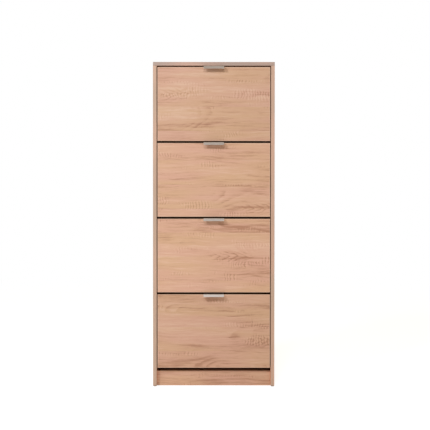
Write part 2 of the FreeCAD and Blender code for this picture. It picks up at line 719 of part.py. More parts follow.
def fan_screws(number, room=0.0):
    screws = []
    x = FAN_INNER_X - FLANGE_WIDTH / 2
    for up in FAN_SCREW_UP:
        start = pivot_point(x, number, FLAP_BACK + FLANGE_SHEET, up)
        screws.append(pan_screw(start, -Y_AXIS, FAN_SCREW_LENGTH, room))
    return screws


def pin_seat_x():
    return FAN_INNER_X - BOSS_LENGTH + PIN_SEAT_FLOOR


def pin_bore(number):
    return rod(pivot_point(pin_seat_x(), number), X_AXIS, PIN_RADIUS, BOSS_LENGTH + PAST)


def fan_right(number):
    wall = fan_outline(number, FAN_INNER_X, FAN_OUTER_X)
    inner_wall_zone = fan_outline(number, FAN_INNER_X - FLANGE_WIDTH, FAN_OUTER_X)
    flange_low = CORNER_UP + GROOVE_ROOM
    flange = flap_profile(number, [(FLAP_BACK, flange_low),
                                   (FLAP_BACK + FLANGE_SHEET, flange_low),
                                   (FLAP_BACK + FLANGE_SHEET, FLANGE_TOP),
                                   (FLAP_BACK, FLANGE_TOP)],
                          FAN_INNER_X - FLANGE_WIDTH, FAN_INNER_X + OVERLAP)
    boss = rod(pivot_point(FAN_INNER_X - BOSS_LENGTH, number), X_AXIS, BOSS_RADIUS,
               BOSS_LENGTH + OVERLAP)
    rim = arc_band(number, FAN_RADIUS - RIM_SHEET, FAN_RADIUS, FAN_INNER_X - RIM_WIDTH,
                   FAN_INNER_X + OVERLAP)
    pieces = [boss, rim] + groove_ribs(number) + stiffeners(number)
    trimmed = [piece.common(inner_wall_zone) for piece in pieces]
    bracket = join([wall, flange] + trimmed)
    holes = fan_screws(number, HOLE_ROOM) + [stop_slot(number), pin_bore(number)]
    holes.append(shoe_board(number, FAN_INNER_X - HOLE_ROOM))
    return without(bracket, holes)


def pivot_pin(number):
    start_x = pin_seat_x() + HOLE_ROOM
    end_x = INNER_X + BUSH_DEPTH - BUSH_FLOOR - PIN_END_ROOM
    pin = rod(pivot_point(start_x, number), X_AXIS, PIN_RADIUS, end_x - start_x)
    tip = [edge for edge in pin.Edges if edge.BoundBox.XMin > end_x - SAME]
    return pin.makeChamfer(PIN_CHAMFER, tip)


# ---------------------------------------------------------------- write the parts
def write(name, shape):
    for solid in shape.Solids:
        if not solid.isValid():
            raise ValueError("invalid solid in " + name)
    shape.exportStep("parts/" + name + ".step")
    print(name, "solids", len(shape.Solids), "volume_cm3", round(shape.Volume / 1000, 2))


def carcass_parts():
    side = side_panel_right()
    plates = pivot_plates_right()
    bracket = plinth_bracket()
    return {
        "side_panel_left": mirrored(side),
        "side_panel_right": side,
        "top_panel": top_panel(),
        "bottom_panel": bottom_panel(),
        "plinth": plinth(),
        "rear_rail_top": rear_rail_top(),
        "back_panel_upper": back_panel_upper(),
        "back_panel_lower": back_panel_lower(),
        "back_joint_strip": back_joint_strip(),
        "back_nails": group(all_back_nails()),
        "cam_locks": cam_locks(),
        "cam_bolts": cam_bolts(),
        "dowels": dowels(),
        "plinth_brackets": group(both_sides([bracket])),
        "plinth_bracket_screws": group(both_sides(bracket_screws())),
        "glides": glides(),
        "pivot_plates_left": mirrored(plates),
        "pivot_plates_right": plates,
        "pivot_plate_screws": pivot_plate_screws(),
    }


def flap_parts(number):
    fan = fan_right(number)
    prefix = "flap_" + str(number) + "_"
    return {
        prefix + "front": flap_front(number),
        prefix + "handle": handle(number),
        prefix + "handle_screws": group(handle_screws(number)),
        prefix + "fan_left": mirrored(fan),
        prefix + "fan_right": fan,
        prefix + "fan_screws": group(both_sides(fan_screws(number))),
        prefix + "toe_board": toe_board(number),
        prefix + "shoe_board": shoe_board(number),
        prefix + "pivot_pins": group(both_sides([pivot_pin(number)])),
    }


os.makedirs("parts", exist_ok=True)
parts = carcass_parts()
for flap_number in range(1, FLAP_COUNT + 1):
    parts.update(flap_parts(flap_number))
for part_name, part_shape in parts.items():
    write(part_name, part_shape)
print("nodes", len(parts))
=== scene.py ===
import json
import math
from collections import namedtuple

import bpy
from mathutils import Matrix, Vector


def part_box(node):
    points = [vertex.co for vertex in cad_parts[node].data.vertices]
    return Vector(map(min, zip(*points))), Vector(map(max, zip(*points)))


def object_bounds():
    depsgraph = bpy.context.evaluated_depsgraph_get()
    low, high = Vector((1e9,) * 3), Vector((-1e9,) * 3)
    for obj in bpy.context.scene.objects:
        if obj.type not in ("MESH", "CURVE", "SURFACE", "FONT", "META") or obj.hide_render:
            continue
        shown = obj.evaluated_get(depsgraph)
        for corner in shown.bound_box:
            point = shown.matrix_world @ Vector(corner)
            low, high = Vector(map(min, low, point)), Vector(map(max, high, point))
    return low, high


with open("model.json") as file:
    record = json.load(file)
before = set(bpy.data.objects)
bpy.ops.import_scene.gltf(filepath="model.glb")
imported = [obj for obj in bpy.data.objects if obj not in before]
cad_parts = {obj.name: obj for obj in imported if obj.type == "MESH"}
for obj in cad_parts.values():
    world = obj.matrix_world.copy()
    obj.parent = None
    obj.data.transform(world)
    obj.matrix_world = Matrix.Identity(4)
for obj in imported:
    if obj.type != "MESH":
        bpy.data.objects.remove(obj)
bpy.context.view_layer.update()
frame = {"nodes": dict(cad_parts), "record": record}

# A shoe cabinet in light oak foil with four tilting flaps. All lengths are in metres, in the
# frame of the CAD model: +Z up, +Y towards the wall, origin on the floor.

NODES = frame["nodes"]
X, Y, Z = range(3)
WHITE = (1.0, 1.0, 1.0)


# ---------------------------------------------------------------- building materials
class Surface:
    """One procedural material, built up with short calls."""

    # places of the mixing node's colour sockets, which share their names with others
    FIRST_COLOUR = 6
    SECOND_COLOUR = 7
    MIXED_COLOUR = 2

    def __init__(self, name):
        self.material = bpy.data.materials.new(name)
        self.material.use_nodes = True
        self.tree = self.material.node_tree
        self.tree.nodes.clear()
        self.shader = self.tree.nodes.new("ShaderNodeBsdfPrincipled")
        self.output = self.tree.nodes.new("ShaderNodeOutputMaterial")
        self.tree.links.new(self.shader.outputs["BSDF"], self.output.inputs["Surface"])
        self.position = self.tree.nodes.new("ShaderNodeTexCoord").outputs["Object"]

    def put(self, socket, value):
        """Link a socket to another one, or give it a constant."""
        if isinstance(value, bpy.types.NodeSocket):
            self.tree.links.new(value, socket)
        else:
            socket.default_value = value

    def compute(self, operation, *values):
        step = self.tree.nodes.new("ShaderNodeMath")
        step.operation = operation
        for socket, value in zip(step.inputs, values):
            self.put(socket, value)
        return step.outputs["Value"]

    def plus(self, first, second):
        return self.compute("ADD", first, second)

    def minus(self, first, second):
        return self.compute("SUBTRACT", first, second)

    def times(self, first, second):
        return self.compute("MULTIPLY", first, second)

    def over(self, first, second):
        return self.compute("DIVIDE", first, second)

    def hypotenuse(self, first, second):
        squares = [self.times(side, side) for side in (first, second)]
        return self.compute("SQRT", self.plus(*squares))

    def split(self, vector):
        step = self.tree.nodes.new("ShaderNodeSeparateXYZ")
        self.put(step.inputs["Vector"], vector)
        return list(step.outputs)

    def merge(self, x, y, z):
        step = self.tree.nodes.new("ShaderNodeCombineXYZ")
        for socket, value in zip(step.inputs, (x, y, z)):
            self.put(socket, value)
        return step.outputs["Vector"]

    def stretched(self, vector, factors):
        step = self.tree.nodes.new("ShaderNodeVectorMath")
        step.operation = "MULTIPLY"
        self.put(step.inputs[0], vector)
        self.put(step.inputs[1], factors)
        return step.outputs["Vector"]

    def noise(self, vector, factors, detail=2.0, roughness=0.5):
        """Smooth noise from 0 to 1, with so many features per metre along each axis."""
        step = self.tree.nodes.new("ShaderNodeTexNoise")
        self.put(step.inputs["Vector"], self.stretched(vector, factors))
        self.put(step.inputs["Scale"], 1.0)
        self.put(step.inputs["Detail"], detail)
        self.put(step.inputs["Roughness"], roughness)
        return step.outputs["Fac"]

    def random(self, value):
        """Three random numbers that stay the same while the value stays the same."""
        step = self.tree.nodes.new("ShaderNodeTexWhiteNoise")
        step.noise_dimensions = "1D"
        self.put(step.inputs["W"], value)
        return self.split(step.outputs["Color"])

    def spread(self, value, low, high, new_low=0.0, new_high=1.0):
        """Map low..high smoothly to new_low..new_high and hold it inside that range."""
        step = self.tree.nodes.new("ShaderNodeMapRange")
        step.interpolation_type = "SMOOTHSTEP"
        for name, number in (("Value", value), ("From Min", low), ("From Max", high),
                             ("To Min", new_low), ("To Max", new_high)):
            self.put(step.inputs[name], number)
        return step.outputs["Result"]

    def swing(self, noise, low, high, reach=0.2):
        """Map noise smoothly to low..high. The reach is how far from 0.5 it gets there."""
        return self.spread(noise, 0.5 - reach, 0.5 + reach, low, high)

    def blend(self, factor, first, second, mode="MIX"):
        step = self.tree.nodes.new("ShaderNodeMix")
        step.data_type = "RGBA"
        step.blend_type = mode
        self.put(step.inputs["Factor"], factor)
        self.put(step.inputs[self.FIRST_COLOUR], first)
        self.put(step.inputs[self.SECOND_COLOUR], second)
        return step.outputs[self.MIXED_COLOUR]

    def shaded(self, colour, brightness):
        """Multiply a colour by a grey value."""
        grey = self.merge(brightness, brightness, brightness)
        return self.blend(1.0, colour, grey, "MULTIPLY")

    def relief(self, height, depth):
        """Bump: one step of the height stands for so many metres."""
        step = self.tree.nodes.new("ShaderNodeBump")
        self.put(step.inputs["Height"], height)
        step.inputs["Strength"].default_value = 1.0
        step.inputs["Distance"].default_value = depth
        self.tree.links.new(step.outputs["Normal"], self.shader.inputs["Normal"])

    def set(self, **values):
        """Give the shader's sockets their values: Base_Color stands for Base Color."""
        for name, value in values.items():
            self.put(self.shader.inputs[name.replace("_", " ")], value)


def linear(red, green, blue):
    """A colour from its 0 to 255 screen values, as the renderer's linear values."""
    values = []
    for level in (red, green, blue):
        part = level / 255
        values.append(part / 12.92 if part <= 0.04045 else ((part + 0.055) / 1.055) ** 2.4)
    return (*values, 1.0)


def even(scale):
    return (scale, scale, scale)


# ---------------------------------------------------------------- the printed oak
OAK_PALE = linear(225, 187, 160)
OAK_MIDDLE = linear(213, 170, 143)
OAK_DARK = linear(178, 131, 104)
OAK_PINK = linear(215, 168, 145)
OAK_YELLOW = linear(212, 171, 136)
HUE_SCALE = (2.5, 17.0)          # scales are features per metre, with the grain and across it
HUE_SHARE = 0.85                 # how much of the middle tone is pink or yellow
FULLY_PALE = 0.9                 # the lightness at which the print is quite pale or quite dark
FULLY_DARK = -0.95

PLANK_WIDTH = 0.098              # printed planks of the foil
PLANK_CONTRAST = 0.22            # between the lightest and the darkest plank
PLANK_RUN_SHIFT = 9.0            # how far one plank's print may be shifted against the next
PLANK_RISE_SHIFT = 5.0
JOINT_HALF_WIDTH = 0.0012        # faint line between two planks
JOINT_SHADE = 0.965
SEED_PLANK_SHIFT = 0.37          # what a board's seed moves: the planks, their luck, the print
SEED_LUCK_SHIFT = 17.0
SEED_DEPTH_SHIFT = 1.7
BEND = 0.004                     # the grain wanders sideways by up to this much
BEND_SCALE = (6.0, 12.0)

# One layer of streaks: its scales, the noise's detail, roughness and reach, and how strongly it
# shows.
Layer = namedtuple("Layer", "scale detail roughness reach weight")
PATCHES = Layer((2.6, 6.5), 2.0, 0.5, 0.18, 0.27)
BANDS = Layer((1.6, 30.0), 2.0, 0.5, 0.22, 0.21)
STREAKS = Layer((5.5, 130.0), 3.0, 0.6, 0.22, 0.25)
HAIRS = Layer((18.0, 340.0), 4.0, 0.7, 0.22, 0.30)

ARCH_WEIGHT = -0.52
ARCH_ZONE_SCALE = (3.6, 14.0)    # arches show in some zones only
ARCH_ZONE_RANGE = (0.50, 0.66)
ARCH_START = 0.2                 # where between two rings the wood begins to darken
RING_END = 0.9                   # where it is darkest
RINGS_PER_METRE = 85.0
RING_RIPPLE = 0.5                # in rings
RIPPLE_SCALE = (30.0, 90.0)
PITH_SCALE = (2.2, 1.0)
PITH_DEPTH = 0.11                # the deepest that the pith line runs under the face

ARROW_PITCH = 0.034              # between pointed arches, with the grain
ARROW_RISE = 0.012               # how far they open to the sides over one pitch
ARROW_ROUND = 0.003              # rounding of their points
ARROW_START = 0.4
ARROW_RIPPLE = 1.4
ARROW_DEPTH = 1.2                # how much darker they are than the other arches

SAW_PITCH = 0.0115               # between the ticks that the saw left across the grain
SAW_WANDER = 2.2                 # in ticks
SAW_WANDER_SCALE = (20.0, 40.0)
SAW_CLUSTER_SCALE = (5.5, 26.0)
SAW_RAGGED_SCALE = (70.0, 45.0)
SAW_RAGGED = 0.35                # how much the clusters' outlines are frayed
SAW_CLUSTER_RANGE = (0.77, 0.90)
SAW_SPOT = 0.26                  # what a spot adds to the chance of a cluster
DARK_TICK_RANGE = (0.16, 0.05)   # distance from the middle of a tick, in pitches
PALE_TICK_RANGE = (0.30, 0.46)
DARK_TICK_WEIGHT = -0.50
PALE_TICK_WEIGHT = 0.36

PORE_SCALE = (34.0, 900.0)       # fine dashes with the grain
PORE_RANGE = (0.60, 0.70)
PORE_WEIGHT = -0.24
HAIR_HEIGHT = 0.6                # of the embossing, against the pores' depth

SPOT_HALF_LENGTH = 0.080         # of a patch of saw marks or of arches
SPOT_HALF_HEIGHT = 0.024
SPOT_RANGE = (1.6, 0.1)          # squared distance from its middle, in half sizes


class OakPrint:
    """The oak that is printed on one board, in planks that run along one axis."""

    def __init__(self, surface, along, across, seed):
        self.surface = surface
        self.seed = seed
        axes = surface.split(surface.position)
        self.along = axes[along]
        self.across = axes[across]
        depth = axes[X + Y + Z - along - across]

        self.plank_place = surface.plus(surface.over(self.across, PLANK_WIDTH), seed * SEED_PLANK_SHIFT)
        plank = surface.compute("FLOOR", self.plank_place)
        self.in_plank = surface.minus(self.plank_place, plank)
        self.luck = surface.random(surface.plus(plank, seed * SEED_LUCK_SHIFT))

        # every plank shows another part of the print
        self.run = surface.plus(self.along, surface.times(self.luck[0], PLANK_RUN_SHIFT))
        rise = surface.plus(self.across, surface.times(self.luck[1], PLANK_RISE_SHIFT))
        self.place = surface.merge(self.run, rise, surface.plus(depth, seed * SEED_DEPTH_SHIFT))
        self.bend = surface.swing(self.noise(BEND_SCALE), -BEND, BEND, 0.25)
        self.waved = surface.merge(self.run, surface.plus(rise, self.bend), depth)
        self.ripple = self.noise(RIPPLE_SCALE)

    def noise(self, scale, detail=2.0, roughness=0.5, place=None):
        along, across = scale
        return self.surface.noise(place or self.place, (along, across, across), detail, roughness)

    def layer_noise(self, layer, place=None):
        return self.noise(layer.scale, layer.detail, layer.roughness, place)

    def spot(self, centre):
        """From 0 to 1: how deep inside an oval patch a point is."""
        surface = self.surface
        squares = []
        for axis, middle, half in ((self.along, centre[0], SPOT_HALF_LENGTH),
                                   (self.across, centre[1], SPOT_HALF_HEIGHT)):
            offset = surface.over(surface.minus(axis, middle), half)
            squares.append(surface.times(offset, offset))
        return surface.spread(surface.plus(*squares), *SPOT_RANGE)

    def rings(self, phase, start):
        """Lines that darken slowly and end sharply, one for each whole number of the phase."""
        surface = self.surface
        ring = surface.compute("FRACT", phase)
        return surface.times(surface.spread(ring, start, RING_END), surface.spread(ring, 1.0, RING_END))

    def arches(self):
        """Rings about a pith line that comes near the face and leaves it again."""
        surface = self.surface
        off_centre = surface.times(surface.minus(self.in_plank, self.luck[2]), PLANK_WIDTH)
        off_centre = surface.plus(off_centre, self.bend)
        pith_line = surface.merge(self.run, self.luck[1], self.seed)
        pith_noise = self.noise(PITH_SCALE, 1.0, 0.4, pith_line)
        pith_depth = surface.swing(pith_noise, 0.0, PITH_DEPTH, 0.25)
        radius = surface.hypotenuse(off_centre, pith_depth)
        phase = surface.plus(surface.times(radius, RINGS_PER_METRE),
                             surface.times(self.ripple, RING_RIPPLE))
        zone = surface.spread(self.noise(ARCH_ZONE_SCALE), *ARCH_ZONE_RANGE)
        return surface.times(self.rings(phase, ARCH_START), zone)

    def pointed_arches(self, centre):
        """Arches like arrow heads, one behind the other, inside one spot."""
        surface = self.surface
        lift = surface.plus(surface.minus(self.across, centre[1]), self.bend)
        lift = surface.hypotenuse(lift, ARROW_ROUND)
        phase = surface.plus(surface.over(self.along, ARROW_PITCH), surface.over(lift, ARROW_RISE))
        phase = surface.plus(phase, surface.times(self.ripple, ARROW_RIPPLE))
        arrows = surface.times(self.rings(phase, ARROW_START), self.spot(centre))
        return surface.times(arrows, ARROW_DEPTH)

    def saw_marks(self, spots):
        """Clusters of short ticks across the grain: the dark ticks and the pale ones between."""
        surface = self.surface
        wander = surface.times(self.noise(SAW_WANDER_SCALE), SAW_WANDER)
        tooth = surface.plus(surface.over(self.run, SAW_PITCH), wander)
        tick = surface.compute("PINGPONG", tooth, 0.5)
        ragged = surface.times(self.noise(SAW_RAGGED_SCALE, 1.0), SAW_RAGGED)
        cluster = surface.plus(self.noise(SAW_CLUSTER_SCALE, 1.0), ragged)
        for centre in spots:
            cluster = surface.plus(cluster, surface.times(self.spot(centre), SAW_SPOT))
        cluster = surface.spread(cluster, *SAW_CLUSTER_RANGE)
        return [surface.times(surface.spread(tick, *tick_range), cluster)
                for tick_range in (DARK_TICK_RANGE, PALE_TICK_RANGE)]

    def colour_of(self, light):
        """Oak colour from its lightness: 0 is the middle tone."""
        surface = self.surface
        hue = surface.swing(self.noise(HUE_SCALE), 0.0, 1.0, 0.18)
        middle = surface.blend(HUE_SHARE, OAK_MIDDLE, surface.blend(hue, OAK_PINK, OAK_YELLOW))
        colour = surface.blend(surface.spread(light, 0.0, FULLY_PALE), middle, OAK_PALE)
        colour = surface.blend(surface.spread(light, 0.0, FULLY_DARK), colour, OAK_DARK)
        joint = surface.times(surface.compute("PINGPONG", self.plank_place, 0.5), PLANK_WIDTH)
        return surface.shaded(colour, surface.spread(joint, 0.0, JOINT_HALF_WIDTH, JOINT_SHADE, 1.0))


def oak_pattern(surface, along, across, seed, saw_spots=(), arch_spots=()):
    """Colour and height of the printed oak: patches, streaks, arches, saw marks and pores.

    The spots are the places where saw marks and arches are certain to show.
    """
    oak = OakPrint(surface, along, across, seed)
    hairs = oak.layer_noise(HAIRS, oak.waved)
    layers = [(PATCHES, oak.layer_noise(PATCHES)),
              (BANDS, oak.layer_noise(BANDS, oak.waved)),
              (STREAKS, oak.layer_noise(STREAKS, oak.waved)),
              (HAIRS, hairs)]
    arches = oak.arches()
    for centre in arch_spots:
        arches = surface.plus(arches, oak.pointed_arches(centre))
    dark_ticks, pale_ticks = oak.saw_marks(saw_spots)
    pores = surface.spread(oak.noise(PORE_SCALE, 1.0), *PORE_RANGE)

    light = surface.times(surface.minus(oak.luck[1], 0.5), PLANK_CONTRAST)
    for layer, pattern in layers:
        tone = surface.swing(pattern, -layer.weight, layer.weight, layer.reach)
        light = surface.plus(light, tone)
    for pattern, weight in ((arches, ARCH_WEIGHT), (dark_ticks, DARK_TICK_WEIGHT),
                            (pale_ticks, PALE_TICK_WEIGHT), (pores, PORE_WEIGHT)):
        light = surface.plus(light, surface.times(pattern, weight))
    height = surface.minus(surface.times(hairs, HAIR_HEIGHT), pores)
    return oak.colour_of(light), height


# ---------------------------------------------------------------- boards in oak foil
BAND_SHEET = 0.0008              # thickness of the edge bands
BAND_INSIDE = 0.7                # in front of this part of the thickness all is band
BAND_COLOUR = linear(201, 171, 149)
TOP_BAND_COLOUR = linear(179, 158, 146)
BAND_STREAK_SCALE = (9.0, 260.0)
BAND_DRIFT_SCALE = (4.0, 14.0)
BAND_PINK = 0.5                  # how much of the oak's pink shows in the pinkest places
# painted shade in the gaps: the flaps' edge bands get this dark brown in place of their oak
GAP_SHADE_COLOUR = linear(203, 140, 95)
PAINTED_GAP_SHADE = 0.30                # painted shade: how dark the flaps' bands are painted, deep in the gaps
# painted highlight: a thin pale line just inside each flap's outline, where its rounded edges catch the
# light
EDGE_HIGHLIGHT_COLOUR = linear(226, 193, 170)
EDGE_HIGHLIGHT_SHARE = 0.55
EDGE_HIGHLIGHT_RANGE = (0.0030, 0.0018)     # from the flap's outline
# painted shade: the carcass boards' inner faces are tinted browner and darker, as they look in the
# shade of the gaps
INNER_SHADE_TINT = linear(255, 222, 192)
FOIL_ROUGHNESS = (0.44, 0.52)
FOIL_PORE_ROUGHNESS = 0.06       # what the pores add
FOIL_SPECULAR = 0.35
FOIL_EMBOSSING = 0.00006
FINGER_SCALE = 7.0               # of the faint marks that hands leave

# every flap's print is its own, and a little lighter or darker than the next
FLAP_SEEDS = {1: 17.2, 2: 12.4, 3: 25.9, 4: 23.0}
FLAP_TONES = {1: 0.96, 2: 1.03, 3: 1.05, 4: 0.955}
PLINTH_TONE = 1.02
# where each flap's foil shows saw marks and arches: x, and the height above its lower edge
SAW_SPOTS = {1: [(0.150, 0.190)], 2: [(-0.053, 0.039)], 3: [(0.020, 0.065)], 4: [(0.165, 0.122)]}
ARCH_SPOTS = {1: [(-0.160, 0.190)], 2: [(0.190, 0.035)], 3: [(0.075, 0.146)], 4: [(0.215, 0.110)]}


def edge_distance(surface, node, face_axes):
    """Distance in from the board's outline, measured along the two axes of its face."""
    low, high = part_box(node)
    coordinates = surface.split(surface.position)
    distances = []
    for axis in face_axes:
        middle = (low[axis] + high[axis]) / 2
        half = (high[axis] - low[axis]) / 2
        from_middle = surface.compute("ABSOLUTE", surface.minus(coordinates[axis], middle))
        distances.append(surface.minus(half, from_middle))
    return surface.compute("MINIMUM", *distances)


def foil_finish(surface, colour, height):
    """The satin, lightly embossed skin of a melamine foil."""
    fingers = surface.noise(surface.position, even(FINGER_SCALE), 3.0, 0.6)
    roughness = surface.plus(surface.swing(fingers, *FOIL_ROUGHNESS),
                             surface.spread(height, -1.0, HAIR_HEIGHT, FOIL_PORE_ROUGHNESS, 0.0))
    surface.set(Base_Color=colour, Roughness=roughness, Specular_IOR_Level=FOIL_SPECULAR)
    surface.relief(height, FOIL_EMBOSSING)
    return surface.material


def flap_oak(number):
    """A flap: oak foil on its faces, with a painted highlight, a thin pale line just inside its
    outline, and painted shade on its edge bands, deep in the gaps.
    """
    node = f"flap_{number}_front"
    surface = Surface(f"oak_flap_{number}")
    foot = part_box(node)[0].z
    saw_spots = [(x, foot + up) for x, up in SAW_SPOTS[number]]
    arch_spots = [(x, foot + up) for x, up in ARCH_SPOTS[number]]
    colour, height = oak_pattern(surface, X, Z, FLAP_SEEDS[number], saw_spots, arch_spots)
    colour = surface.shaded(colour, FLAP_TONES[number])
    outline = edge_distance(surface, node, (X, Z))
    # painted highlight: a thin pale line just inside the outline
    edge_highlight = surface.spread(outline, *EDGE_HIGHLIGHT_RANGE, 0.0, EDGE_HIGHLIGHT_SHARE)
    colour = surface.blend(edge_highlight, colour, EDGE_HIGHLIGHT_COLOUR)
    # painted shade: the edge bands, deep in the gaps, are painted dark brown
    band = surface.spread(outline, BAND_SHEET, BAND_SHEET / 2)
    colour = surface.blend(band, colour, surface.shaded(GAP_SHADE_COLOUR, PAINTED_GAP_SHADE))
    return foil_finish(surface, colour, height)


def board_oak(name, along, across, seed, tone=1.0):
    """A board whose edge bands don't show."""
    surface = Surface(name)
    colour, height = oak_pattern(surface, along, across, seed)
    return foil_finish(surface, surface.shaded(colour, tone), height)


def band_look(surface, along, band_colour):
    """The plainer, greyer print of a front edge band."""
    streak_scale = [BAND_STREAK_SCALE[1]] * 3
    streak_scale[along] = BAND_STREAK_SCALE[0]
    drift_scale = [BAND_DRIFT_SCALE[1]] * 3
    drift_scale[along] = BAND_DRIFT_SCALE[0]
    streaks = surface.noise(surface.position, streak_scale, 3.0, 0.6)
    drift = surface.noise(surface.position, drift_scale)
    tone = surface.times(surface.swing(streaks, 0.95, 1.05), surface.swing(drift, 0.94, 1.04))
    tint = surface.blend(surface.swing(drift, 0.0, BAND_PINK, 0.15), band_colour, OAK_PINK)
    return surface.shaded(tint, tone)


def banded_oak(name, node, along, seed, inner_face, band_colour=BAND_COLOUR):
    """A carcass board that shows its front edge band.

    The inner face is given by its axis and its place on that axis. Its foil is painted browner and
    darker: painted shade, as it looks deep in the gaps.
    """
    surface = Surface(name)
    colour, height = oak_pattern(surface, along, Y, seed)
    axes = surface.split(surface.position)
    inner_axis, inner_place = inner_face
    from_inner = surface.compute("ABSOLUTE", surface.minus(axes[inner_axis], inner_place))
    # painted shade: the inner face is tinted browner and darker
    inner = surface.spread(from_inner, BAND_SHEET, BAND_SHEET / 2)
    colour = surface.blend(inner, colour, surface.blend(1.0, colour, INNER_SHADE_TINT, "MULTIPLY"))
    front_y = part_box(node)[0].y
    band = surface.spread(axes[Y], front_y + BAND_SHEET, front_y + BAND_SHEET * BAND_INSIDE)
    colour = surface.blend(band, colour, band_look(surface, along, band_colour))
    return foil_finish(surface, colour, height)


# ---------------------------------------------------------------- other materials
HARDBOARD_FIBRE_SCALE = 420.0
HARDBOARD_CLOUD_SCALE = 9.0
HARDBOARD_FLECK_SCALE = (150.0, 600.0, 150.0)
HARDBOARD_FLECK_RANGE = (0.64, 0.74)
HARDBOARD_FLECK_DEPTH = 0.22
HARDBOARD_RELIEF = 0.00008

BRUSHED_SCALE = (5.0, 900.0, 900.0)   # scratches along X
TURNED_SCALE = (900.0, 60.0, 60.0)    # rings round X
METAL_SMEAR_SCALE = (40.0, 60.0, 60.0)
METAL_SMEAR = 0.05                    # what smears add to the roughness
METAL_SCRATCH = 0.06                  # how much the scratches change it
METAL_RELIEF = 0.000012

PLASTIC_GRAIN_SCALE = 1300.0
PLASTIC_CLOUD_SCALE = 30.0
PLASTIC_ROUGHNESS = (0.45, 0.57)
PLASTIC_SPECULAR = 0.45
PLASTIC_RELIEF = 0.00003

BEECH_COLOUR = linear(214, 180, 140)
BEECH_SCALE = (300.0, 300.0, 20.0)
BEECH_RELIEF = 0.00004


def hardboard(name, base):
    surface = Surface(name)
    fibres = surface.noise(surface.position, even(HARDBOARD_FIBRE_SCALE), 4.0, 0.7)
    clouds = surface.noise(surface.position, even(HARDBOARD_CLOUD_SCALE), 4.0, 0.6)
    flecks = surface.noise(surface.position, HARDBOARD_FLECK_SCALE, 1.0)
    flecks = surface.times(surface.spread(flecks, *HARDBOARD_FLECK_RANGE), HARDBOARD_FLECK_DEPTH)
    value = surface.times(surface.swing(fibres, 0.86, 1.12, 0.25), surface.swing(clouds, 0.94, 1.06))
    surface.set(Base_Color=surface.shaded(base, surface.minus(value, flecks)),
                Roughness=surface.swing(fibres, 0.55, 0.75))
    surface.relief(fibres, HARDBOARD_RELIEF)
    return surface.material


def metal(name, base, roughness, scale):
    """Metal with fine scratches or grain at the given scale, and with faint smears."""
    surface = Surface(name)
    scratches = surface.noise(surface.position, scale, 4.0, 0.65)
    smears = surface.noise(surface.position, METAL_SMEAR_SCALE, 3.0, 0.5)
    value = surface.swing(scratches, 0.90, 1.06, 0.25)
    own_roughness = surface.swing(scratches, roughness - METAL_SCRATCH, roughness + METAL_SCRATCH, 0.3)
    smear_roughness = surface.swing(smears, 0.0, METAL_SMEAR)
    surface.set(Base_Color=surface.shaded(base, value), Metallic=1.0,
                Roughness=surface.plus(own_roughness, smear_roughness))
    surface.relief(scratches, METAL_RELIEF)
    return surface.material


def moulded_plastic(name, base):
    surface = Surface(name)
    grain = surface.noise(surface.position, even(PLASTIC_GRAIN_SCALE), 2.0, 0.6)
    clouds = surface.noise(surface.position, even(PLASTIC_CLOUD_SCALE), 3.0, 0.5)
    surface.set(Base_Color=surface.shaded(base, surface.swing(clouds, 0.92, 1.08)),
                Roughness=surface.swing(clouds, *PLASTIC_ROUGHNESS),
                Specular_IOR_Level=PLASTIC_SPECULAR)
    surface.relief(grain, PLASTIC_RELIEF)
    return surface.material


def beech(name):
    surface = Surface(name)
    grain = surface.noise(surface.position, BEECH_SCALE, 3.0, 0.6)
    surface.set(Base_Color=surface.shaded(BEECH_COLOUR, surface.swing(grain, 0.9, 1.08)),
                Roughness=surface.swing(grain, 0.55, 0.7))
    surface.relief(grain, BEECH_RELIEF)
    return surface.material


# ---------------------------------------------------------------- give each node its material
def paint(node, material):
    piece = NODES[node]
    piece.data.materials.clear()
    piece.data.materials.append(material)


def dress_boards():
    left_inner = (X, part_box("side_panel_left")[1].x)
    right_inner = (X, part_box("side_panel_right")[0].x)
    underside = (Z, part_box("top_panel")[0].z)
    paint("side_panel_left", banded_oak("oak_side_left", "side_panel_left", Z, 21.3, left_inner))
    paint("side_panel_right", banded_oak("oak_side_right", "side_panel_right", Z, 34.7, right_inner))
    paint("top_panel", banded_oak("oak_top", "top_panel", X, 47.9, underside, TOP_BAND_COLOUR))
    paint("plinth", board_oak("oak_plinth", X, Z, 55.2, PLINTH_TONE))
    paint("bottom_panel", board_oak("oak_bottom", X, Y, 61.4))
    paint("rear_rail_top", board_oak("oak_rail", X, Z, 68.8))
    for number in FLAP_SEEDS:
        paint(f"flap_{number}_front", flap_oak(number))


def dress_small_parts():
    finishes = {
        "hardboard": hardboard("hardboard_brown", linear(158, 122, 86)),
        "bin_board": hardboard("hardboard_bin", linear(196, 164, 130)),
        "beech_dowel": beech("beech"),
        "handle_metal": metal("aluminium_brushed", linear(209, 202, 197), 0.36, BRUSHED_SCALE),
        "pin_steel": metal("steel_turned", linear(178, 178, 180), 0.25, TURNED_SCALE),
        "screw_steel": metal("steel_zinc", linear(196, 198, 202), 0.32, even(400.0)),
        "nail_steel": metal("steel_bright", linear(170, 172, 176), 0.35, even(400.0)),
        "bracket_steel": metal("steel_bracket", linear(190, 193, 198), 0.35, even(300.0)),
        "cam_zinc": metal("zinc_cast", linear(165, 168, 173), 0.45, even(350.0)),
        "fan_plastic": moulded_plastic("plastic_black", linear(38, 38, 39)),
        "strip_plastic": moulded_plastic("plastic_beige", linear(200, 178, 150)),
        "glide_plastic": moulded_plastic("plastic_grey", linear(150, 143, 140)),
    }
    for entry in frame["record"]["subparts"]:
        finish = finishes.get(entry["material_slot"])
        if finish:
            paint(entry["node"], finish)


